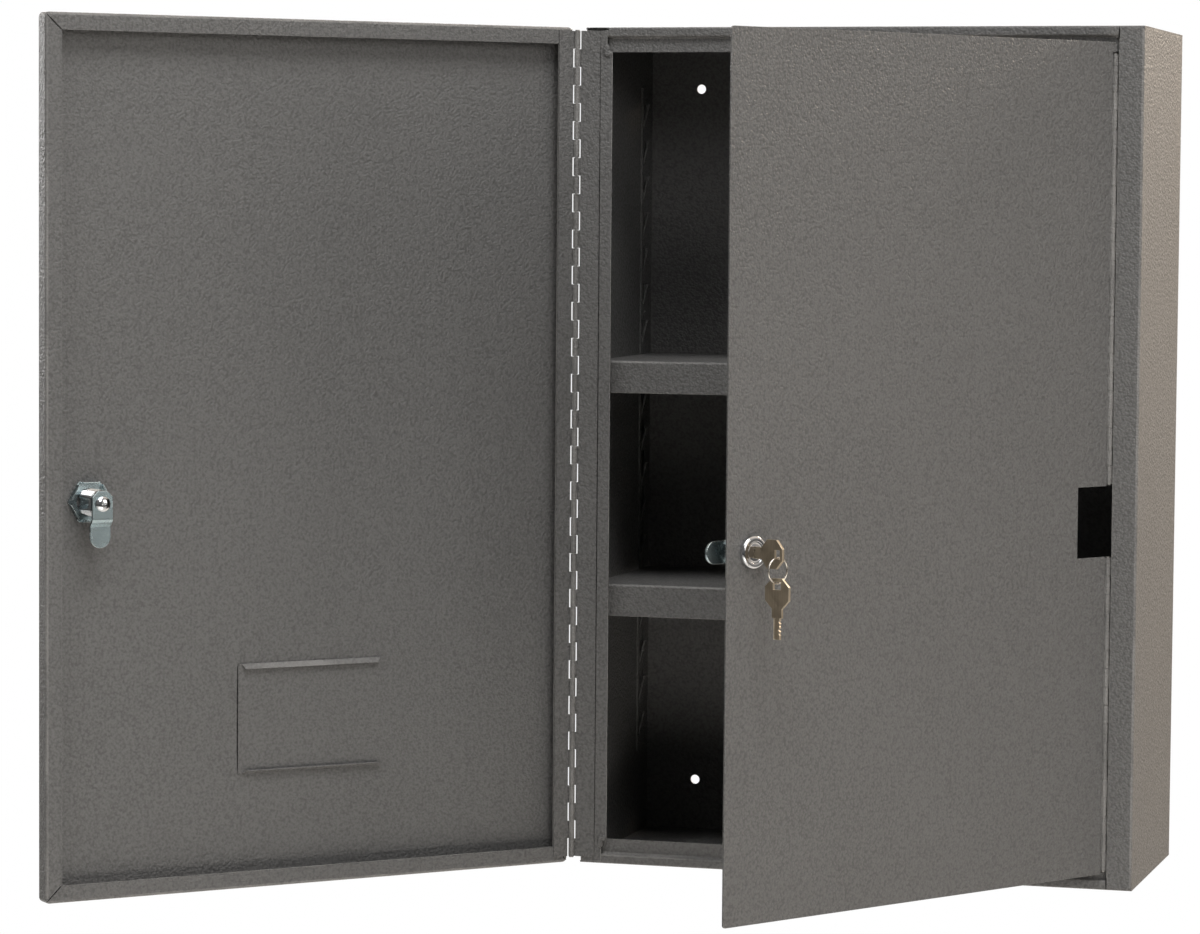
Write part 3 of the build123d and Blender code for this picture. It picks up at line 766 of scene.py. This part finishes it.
@dataclass
class JointShade:
    """Painted shade in the narrow gaps of the outer door's returns, the case's flanges and the card holder: dark
    lenses where the gaps and edges lie in shadow.
    """

    finish_name: str = "painted_joint_shade"
    inset: float = 12.0
    reach: float = 1.3
    corner_round: float = 2.0
    proud: float = 0.03
    mitre_width: float = 0.75
    card_width: float = 1.0
    roof_width: float = 2.2
    leaf_width: float = 0.7
    rail_width: float = 0.9
    rail_length: float = 9.4
    finish: bpy.types.Material = field(init=False)

    def material(self) -> bpy.types.Material:
        """Make the finish: unlit depth between two cut edges, with paint drawn into it in places."""
        material = bpy.data.materials.new(self.finish_name)
        material.use_nodes = True
        tree = material.node_tree
        shader = tree.nodes["Principled BSDF"]
        shader.inputs["Roughness"].default_value = 0.9
        shader.inputs["Specular IOR Level"].default_value = 0.1
        place = tree.nodes.new("ShaderNodeTexCoord")
        patches = tree.nodes.new("ShaderNodeTexNoise")
        patches.inputs["Scale"].default_value = 320.0
        tone = tree.nodes.new("ShaderNodeValToRGB")
        # Near black for the painted shade, lighter in patches of paint drawn into the gaps.
        tone.color_ramp.elements[0].position = 0.45
        tone.color_ramp.elements[0].color = (0.006, 0.006, 0.006, 1.0)
        tone.color_ramp.elements[1].position = 0.8
        tone.color_ramp.elements[1].color = (0.06, 0.057, 0.054, 1.0)
        tree.links.new(place.outputs["Object"], patches.inputs["Vector"])
        tree.links.new(patches.outputs[0], tone.inputs[0])
        tree.links.new(tone.outputs[0], shader.inputs["Base Color"])
        bump = tree.nodes.new("ShaderNodeBump")
        bump.inputs["Distance"].default_value = 0.00005
        tree.links.new(patches.outputs[0], bump.inputs["Height"])
        tree.links.new(bump.outputs[0], shader.inputs["Normal"])
        return material

    def lens(
        self, name: str, body: str, centre: Vector, run: Vector, facing: Vector, length: float, width: float
    ) -> None:
        """Lay one thin dark lens of painted shade on a flat face.

        Args:
            name: Name of the piece.
            body: The body that it rides on.
            centre: Its middle, on the face.
            run: Unit direction that it runs in.
            facing: Unit direction that the face looks in.
            length: Its length, in metres.
            width: Its greatest width, in millimetres.
        """
        shape = bmesh.new()
        bmesh.ops.create_uvsphere(shape, u_segments=16, v_segments=12, radius=1.0)
        across = facing.cross(run) * width / 2 * MM
        turn = Matrix((run * length / 2, across, facing * self.proud * MM)).transposed().to_4x4()
        shape.transform(Matrix.Translation(centre) @ turn)
        piece = placed(name, shape)
        piece.data.materials.append(self.finish)
        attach(piece, body)

    def beside_card(self) -> None:
        """Lay the painted shadow line where the card holder's plate ends on the door's skin."""
        facing, along, _, _ = door_frame()
        points = [vert.co for vert in frame["nodes"]["card_holder"].data.vertices]
        seat = min(point.dot(facing) for point in points)
        edge = max(point.dot(along) for point in points)
        low, high = (end(point.z for point in points) for end in (min, max))
        # Painted shadow of the plate's edge on the door's skin, just beside the plate.
        centre = along * (edge + 0.3 * MM) + facing * seat + Vector((0, 0, (low + high) / 2))
        upright = Vector((0, 0, 1))
        self.lens("card_shadow_line", "outer_door", centre, upright, facing, high - low, self.card_width)

    def on_flange(self) -> None:
        """Lay painted shade in the seams of the roof and rails on the flanges, and a painted shadow line beside
        the long hinge leaf.
        """
        low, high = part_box("left_side_panel")
        roof_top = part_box("top_panel")[1][2]
        leaf_low, leaf_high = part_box("outer_hinge_case_leaf")
        rail_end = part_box("right_side_panel")[0][0]
        facing, upright, sideways = Vector((0, -1, 0)), Vector((0, 0, 1)), Vector((1, 0, 0))
        front = low[1]
        # Painted shade in the seams where the rails meet the right flange.
        for way, name in ((1, "rail_seam_shade_top"), (-1, "rail_seam_shade_low")):
            centre = Vector((rail_end, front, way * (roof_top - 5.0 * MM)))
            self.lens(name, "case", centre, upright, facing, self.rail_length * MM, self.rail_width)
        # Painted shadow of the roof sheet's edge above the left flange.
        left = low[0] + 0.6 * MM
        right = high[0] - 2.6 * MM
        centre = Vector(((left + right) / 2, front, roof_top - 1.3 * MM))
        self.lens("roof_edge_shade", "case", centre, sideways, facing, right - left, self.roof_width)
        # Painted shadow line in the gap beside the long hinge leaf's edge.
        centre = Vector((leaf_high[0] + 0.2 * MM, front, (leaf_low[2] + leaf_high[2]) / 2))
        self.lens("leaf_shadow_line", "case", centre, upright, facing, leaf_high[2] - leaf_low[2], self.leaf_width)

    def at_mitres(self) -> None:
        """Lay a lens of painted shade along the gap at each corner of the outer door's returns."""
        facing, along, flat, corners = door_frame()
        top = max(point.z for point in corners)
        reaches = [point.dot(along) for point in corners if point.dot(facing) > flat - 0.1 * MM]
        middle = (self.inset - self.reach) / 2 * MM + self.reach * MM
        length = (self.inset - self.reach) * math.sqrt(2) * MM
        rounding = self.corner_round * MM
        # Painted shade in each mitre gap.
        for across, edge in ((1, min(reaches) - rounding), (-1, max(reaches) + rounding)):
            for up in (-1, 1):
                height = Vector((0, 0, up * (top - middle)))
                centre = along * (edge + across * middle) + facing * flat + height
                run = (along * across + Vector((0, 0, -up))).normalized()
                name = f"mitre_gap_shade_{'far' if across < 0 else 'near'}_{'top' if up > 0 else 'low'}"
                self.lens(name, "outer_door", centre, run, facing, length, self.mitre_width)

    def build(self) -> None:
        """Make the finish and lay every lens of painted shade."""
        self.finish = self.material()
        self.on_flange()
        self.beside_card()
        self.at_mitres()
        log.info("open joints: 9")


# ---------------------------------------------------------------- cam locks


@dataclass
class CamLock:
    """One cam lock, on its own axis: +Y runs into the door from its outside face."""

    door: Door
    finishes: Finishes
    hub: float = 24.1
    bezel_radius: float = 11.0
    bezel_depth: float = 4.0
    barrel_radius: float = 9.4
    flats: float = 16.2
    plug_radius: float = 6.2
    head_radius: float = 7.2
    recess: float = 0.6
    thread_pitch: float = 1.0
    thread_depth: float = 0.42
    sheet: float = 1.5
    cam_sheet: float = 1.8
    slot: tuple[float, float] = (2.3, 5.4)
    slot_depth: float = 13.8
    clearance: float = 0.05
    rim_rise: float = 1.9
    edge: float = 0.3
    seat_depth: float = 2.7
    head_depth: float = 2.4
    screw_radius: float = 1.9
    screw_reach: float = 3.7
    dome_radius: float = 5.4
    dome_rise: float = 1.9
    dome_rim: float = 0.7
    cross: tuple[float, float, float] = (4.6, 2.6, 1.0)
    cross_taper: tuple[float, float] = (0.45, 0.6)
    cross_turn: float = 0.35

    def __post_init__(self) -> None:
        """Find the lock's place from its joint."""
        joint = joint_named(f"{self.door.value}_lock_turn")
        inward = -Vector(joint["axis"]).normalized()
        up = Vector((0, 0, 1))
        side = inward.cross(up)
        self.place = Matrix((side, inward, up)).transposed().to_4x4()
        self.place.translation = Vector(joint["pos_m"])

    def finish(self, node: str, shape: bmesh.types.BMesh, suffix: str) -> bpy.types.Object:
        """Place a shape that is drawn on the lock's axis, and let it stand for its node.

        Args:
            node: The node to stand for.
            shape: The shape, in metres on the lock's axis.
            suffix: Ending of the piece's name.

        Returns:
            The new piece.
        """
        shape.transform(self.place)
        return self.finishes.stand_in(placed(f"{node}_{suffix}", shape), node)

    def body(self) -> None:
        """Turn the bezel and the threaded barrel, and mill the barrel's two flats."""
        bore = self.plug_radius + self.clearance
        counterbore = self.head_radius + self.clearance
        face = -self.bezel_depth
        seat = self.recess + self.seat_depth + face
        root = self.barrel_radius - self.thread_depth
        end = self.hub - self.edge
        outline: Profile = [(counterbore, face + 0.25), (counterbore + self.edge, face)]
        rim = self.bezel_radius - self.rim_rise
        for step in range(9):
            angle = math.pi / 2 * step / 8
            rise = self.rim_rise * (1 - math.cos(angle))
            outline.append((rim + self.rim_rise * math.sin(angle), face + rise))
        outline += [(self.bezel_radius, -0.35), (self.bezel_radius - self.edge, 0.0), (root, 0.0)]
        depth = self.sheet
        while depth + self.thread_pitch < self.hub - 0.5:
            outline.append((root, depth))
            outline.append((self.barrel_radius, depth + 0.35 * self.thread_pitch))
            outline.append((self.barrel_radius, depth + 0.6 * self.thread_pitch))
            depth += self.thread_pitch
        outline += [(self.barrel_radius - 0.5, end), (bore, end), (bore, seat), (counterbore, seat)]
        shape = spun(outline, 72)
        half = self.flats / 2 * MM
        for vert in shape.verts:
            if vert.co.y > 0.0 and abs(vert.co.x) > half:
                vert.co.x = math.copysign(half, vert.co.x)
        self.finish(f"{self.door.value}_lock_body", shape, "turned")

    def plug(self) -> None:
        """Turn the plug with the groove round its face, and cut its key slot."""
        face = self.recess - self.bezel_depth
        head = self.head_radius
        shoulder = face + self.head_depth
        outline: Profile = [
            (0.0, face), (head - 1.5, face), (head - 1.2, face + 0.25), (head - 0.9, face),
            (head - self.edge, face), (head, face + self.edge), (head, shoulder),
            (self.plug_radius, shoulder), (self.plug_radius, self.hub), (0.0, self.hub),
        ]
        shape = spun(outline, 64)
        width, height = self.slot
        shape = carved(shape, block((width, 2 * self.slot_depth, height), (0.0, face, 0.0)))
        softened(shape, 0.12 * MM, 60.0)
        self.finish(f"{self.door.value}_lock_plug", shape, "turned")

    def screw(self) -> None:
        """Turn the cam screw's low round head and cut its cross recess."""
        seat = self.hub + self.cam_sheet
        outline: Profile = [
            (0.0, seat - self.screw_reach), (self.screw_radius, seat - self.screw_reach),
            (self.screw_radius, seat), (self.dome_radius - 0.2, seat), (self.dome_radius, seat + 0.2),
            (self.dome_radius, seat + self.dome_rim),
        ]
        for step in range(1, 11):
            angle = math.pi / 2 * step / 10
            height = seat + self.dome_rim + self.dome_rise * math.sin(angle)
            outline.append((self.dome_radius * math.cos(angle), height))
        shape = spun(outline, 56)
        for turn in (0.0, math.pi / 2):
            arm = block(self.cross, (0.0, 0.0, 0.0))
            for vert in arm.verts:
                if vert.co.y < 0:
                    vert.co.x *= self.cross_taper[0]
                    vert.co.z *= self.cross_taper[1]
            top = Matrix.Translation((0.0, (seat + self.dome_rim + self.dome_rise) * MM, 0.0))
            arm.transform(top @ Matrix.Rotation(turn + self.cross_turn, 4, "Y"))
            shape = carved(shape, arm)
        softened(shape, 0.1 * MM, 55.0)
        self.finish(f"{self.door.value}_cam_screw", shape, "turned")

    def stampings(self) -> None:
        """Soften the stamped nut and the bent cam."""
        for kind, width in (("nut", 0.22), ("cam", 0.3)):
            node = f"{self.door.value}_lock_{kind}"
            shape = merged_copy(node)
            softened(shape, width * MM, STAMPED_ABOVE, 3)
            self.finishes.stand_in(placed(f"{node}_stamped", shape), node)

    def build(self) -> None:
        """Make the whole lock."""
        self.body()
        self.plug()
        self.screw()
        self.stampings()
        log.info("%s lock built", self.door.value)


# ---------------------------------------------------------------- keys and ring


@dataclass
class Keys:
    """The fitted key, the spare key and the wire ring that joins them."""

    finishes: Finishes
    ring_radius: float = 8.3
    wire_radius: float = 0.65
    edge: float = 0.3 * MM
    nodes: tuple[str, ...] = field(default=("inserted_key", "spare_key"))

    def ring(self) -> None:
        """Turn the ring as a round wire, standing as its node does."""
        low, high = (Vector(corner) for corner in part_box("key_ring"))
        centre = (low + high) / 2
        facing = -Vector(joint_named("inner_lock_turn")["axis"]).normalized()
        shape = bmesh.new()
        across = Matrix.Translation((self.ring_radius * MM, 0, 0))
        bmesh.ops.create_circle(shape, segments=16, radius=self.wire_radius * MM, matrix=across)
        bmesh.ops.spin(
            shape, geom=list(shape.verts) + list(shape.edges), cent=(0, 0, 0), axis=(0, 1, 0),
            angle=math.tau, steps=72, use_merge=True, use_duplicate=False,
        )
        bmesh.ops.remove_doubles(shape, verts=shape.verts, dist=MERGE / 2)
        bmesh.ops.recalc_face_normals(shape, faces=shape.faces)
        turn = Vector((0, 1, 0)).rotation_difference(facing).to_matrix().to_4x4()
        shape.transform(Matrix.Translation(centre) @ turn)
        self.finishes.stand_in(placed("key_ring_wire", shape), "key_ring")

    def build(self) -> None:
        """Make the keys, with stamped edges, and their ring."""
        for node in self.nodes:
            shape = merged_copy(node)
            softened(shape, self.edge, STAMPED_ABOVE, 3)
            bmesh.ops.remove_doubles(shape, verts=shape.verts, dist=MERGE)
            self.finishes.stand_in(placed(f"{node}_stamped", shape), node)
        self.ring()
        log.info("keys and ring built")


# ---------------------------------------------------------------- camera and studio


@dataclass
class ViewCamera:
    """The camera that took the view: its place and turn, fitted to the cabinet's corners."""

    place: Vector = field(default_factory=lambda: Vector((0.667672, -3.139025, 0.183581)))
    yaw: float = 0.282
    pitch: float = -0.064
    roll: float = -0.008
    lens: float = 127.24

    def build(self) -> None:
        """Make the camera and let the scene use it."""
        turn = Matrix.Rotation(self.yaw, 3, "Z") @ Matrix.Rotation(self.pitch, 3, "X")
        turn = turn @ Matrix.Rotation(self.roll, 3, "Y")
        right, ahead, up = turn.col[0], turn.col[1], turn.col[2]
        data = bpy.data.cameras.new("view_camera")
        data.lens = self.lens
        data.sensor_fit = "HORIZONTAL"
        data.sensor_width = 36.0
        data.clip_start = 0.05
        camera = bpy.data.objects.new("view_camera", data)
        facing = Matrix((right, up, -ahead)).transposed().to_4x4()
        camera.matrix_world = Matrix.Translation(self.place) @ facing
        bpy.context.collection.objects.link(camera)
        bpy.context.scene.camera = camera
        log.info("camera set")


@dataclass(frozen=True)
class SoftBox:
    """One soft lamp: where it stands, what it is aimed at, its size and its power."""

    name: str
    place: Place
    aim: Place
    size: tuple[float, float]
    power: float
    tint: Colour = (1.0, 1.0, 1.0)

    def build(self) -> None:
        """Make the lamp."""
        data = bpy.data.lights.new(self.name, "AREA")
        data.shape = "RECTANGLE"
        data.size, data.size_y = self.size
        data.energy = self.power
        data.color = self.tint
        lamp = bpy.data.objects.new(self.name, data)
        lamp.location = self.place
        lamp.rotation_euler = (Vector(self.aim) - Vector(self.place)).to_track_quat("-Z", "Y").to_euler()
        bpy.context.collection.objects.link(lamp)


@dataclass
class Studio:
    """Pale floor, white surroundings and soft boxes."""

    floor_height: float = -1.2
    floor_radius: float = 4.5
    floor_lift: float = 0.6
    room_behind_camera: float = 0.14
    surround: float = 0.03
    room_under_horizon: float = 0.15
    room_lit_from_above: float = 0.7
    room_span: tuple[float, float] = (-0.1, 0.6)
    horizon_span: tuple[float, float] = (-0.25, 0.1)
    warm_behind: Colour = (1.0, 0.88, 0.76)
    boxes: tuple[SoftBox, ...] = (
        SoftBox("key_box", (1.5, -2.5, 1.3), (-0.1, -0.2, 0.0), (1.1, 1.0), 16.0),
        SoftBox("top_box", (0.5, -1.4, 2.3), (-0.3, -0.3, 0.1), (1.4, 1.0), 46.0),
        SoftBox("left_box", (-0.9, -1.7, 2.0), (-0.35, -0.35, 0.1), (1.2, 1.0), 12.0),
        SoftBox("right_box", (2.8, -1.3, 0.6), (0.0, -0.2, 0.0), (1.2, 1.2), 16.0, (1.0, 0.95, 0.9)),
        SoftBox("low_box", (0.7, -1.6, -1.1), (0.0, -0.35, -0.3), (1.2, 0.8), 9.0, (1.0, 0.96, 0.9)),
        SoftBox("rim_box", (1.3, 1.8, 1.3), (0.2, -0.1, 0.1), (0.9, 0.9), 80.0, (1.0, 0.84, 0.68)),
        SoftBox("back_box", (-1.4, 2.9, 1.2), (-0.1, 0.0, 0.0), (1.5, 1.5), 60.0),
        SoftBox("side_box", (-3.2, 0.7, 0.9), (-0.2, 0.0, 0.0), (1.4, 1.4), 50.0),
    )

    def floor(self) -> None:
        """Make the floor."""
        shape = bmesh.new()
        bmesh.ops.create_circle(shape, cap_ends=True, segments=96, radius=self.floor_radius)
        bmesh.ops.translate(shape, vec=(0, 0, self.floor_height), verts=shape.verts)
        mesh = bpy.data.meshes.new("studio_floor")
        shape.to_mesh(mesh)
        shape.free()
        piece = bpy.data.objects.new("studio_floor", mesh)
        bpy.context.collection.objects.link(piece)
        pale = bpy.data.materials.new("studio_floor")
        pale.use_nodes = True
        shader = pale.node_tree.nodes["Principled BSDF"]
        shader.inputs["Base Color"].default_value = (0.86, 0.86, 0.85, 1.0)
        shader.inputs["Roughness"].default_value = 0.9
        shader.inputs["Emission Color"].default_value = (1.0, 1.0, 1.0, 1.0)
        path = pale.node_tree.nodes.new("ShaderNodeLightPath")
        lift = pale.node_tree.nodes.new("ShaderNodeMath")
        lift.operation = "MULTIPLY"
        lift.inputs[1].default_value = self.floor_lift
        pale.node_tree.links.new(path.outputs["Is Camera Ray"], lift.inputs[0])
        pale.node_tree.links.new(lift.outputs[0], shader.inputs["Emission Strength"])
        mesh.materials.append(pale)

    def surroundings(self) -> None:
        """Make the surroundings: white to the camera, and in reflections darker before the cabinet."""
        world = bpy.data.worlds.new("studio")
        bpy.context.scene.world = world
        world.use_nodes = True
        tree = world.node_tree
        shade = tree.nodes["Background"]
        path = tree.nodes.new("ShaderNodeLightPath")
        seen = tree.nodes.new("ShaderNodeMath")
        seen.operation = "MAXIMUM"
        tree.links.new(path.outputs["Is Camera Ray"], seen.inputs[0])
        tree.links.new(path.outputs["Is Transmission Ray"], seen.inputs[1])
        around = tree.nodes.new("ShaderNodeTexCoord")
        parts = tree.nodes.new("ShaderNodeSeparateXYZ")
        tree.links.new(around.outputs["Generated"], parts.inputs[0])
        room = tree.nodes.new("ShaderNodeMapRange")
        room.inputs["From Min"].default_value = self.room_span[0]
        room.inputs["From Max"].default_value = self.room_span[1]
        room.inputs["To Min"].default_value = self.room_behind_camera
        lean = tree.nodes.new("ShaderNodeVectorMath")
        lean.operation = "DOT_PRODUCT"
        lean.inputs[1].default_value = (0.0, 1.0, self.room_lit_from_above)
        tree.links.new(around.outputs["Generated"], lean.inputs[0])
        tree.links.new(lean.outputs["Value"], room.inputs["Value"])
        fall = tree.nodes.new("ShaderNodeMapRange")
        fall.inputs["From Min"].default_value = self.horizon_span[0]
        fall.inputs["From Max"].default_value = self.horizon_span[1]
        fall.inputs["To Min"].default_value = self.room_under_horizon
        tree.links.new(parts.outputs["Z"], fall.inputs["Value"])
        both = tree.nodes.new("ShaderNodeMath")
        both.operation = "MULTIPLY"
        tree.links.new(room.outputs[0], both.inputs[0])
        tree.links.new(fall.outputs[0], both.inputs[1])
        mirrored = tree.nodes.new("ShaderNodeMath")
        mirrored.operation = "MULTIPLY_ADD"
        tree.links.new(both.outputs[0], mirrored.inputs[1])
        tree.links.new(path.outputs["Is Glossy Ray"], mirrored.inputs[0])
        tree.links.new(seen.outputs[0], mirrored.inputs[2])
        warm = tree.nodes.new("ShaderNodeMix")
        warm.data_type = "RGBA"
        warm.inputs[6].default_value = (1.0, 1.0, 1.0, 1.0)
        warm.inputs[7].default_value = (*self.warm_behind, 1.0)
        tree.links.new(room.outputs[0], warm.inputs[0])
        colour = tree.nodes.new("ShaderNodeMix")
        colour.data_type = "RGBA"
        colour.inputs[7].default_value = (1.0, 1.0, 1.0, 1.0)
        tree.links.new(seen.outputs[0], colour.inputs[0])
        tree.links.new(warm.outputs[2], colour.inputs[6])
        tree.links.new(colour.outputs[2], shade.inputs["Color"])
        strength = tree.nodes.new("ShaderNodeMapRange")
        strength.inputs["To Min"].default_value = self.surround
        strength.inputs["To Max"].default_value = 1.0
        strength.clamp = True
        tree.links.new(mirrored.outputs[0], strength.inputs["Value"])
        tree.links.new(strength.outputs[0], shade.inputs["Strength"])

    def build(self) -> None:
        """Make the whole studio."""
        self.floor()
        self.surroundings()
        for box in self.boxes:
            box.build()
        bpy.context.scene.view_settings.view_transform = "Standard"
        log.info("studio built")


def main() -> None:
    """Build the camera, the cabinet's pieces and the studio."""
    logging.basicConfig(level=logging.INFO, format="%(name)s: %(message)s")
    ViewCamera().build()
    finishes = Finishes()
    SheetMetal(finishes).build()
    HingePins(finishes).build()
    WeldBeads(finishes).build()
    JointShade().build()
    CamLock(Door.OUTER, finishes).build()
    CamLock(Door.INNER, finishes, hub=14.0).build()
    Keys(finishes).build()
    Studio().build()


if __name__ == "__main__":
    main()
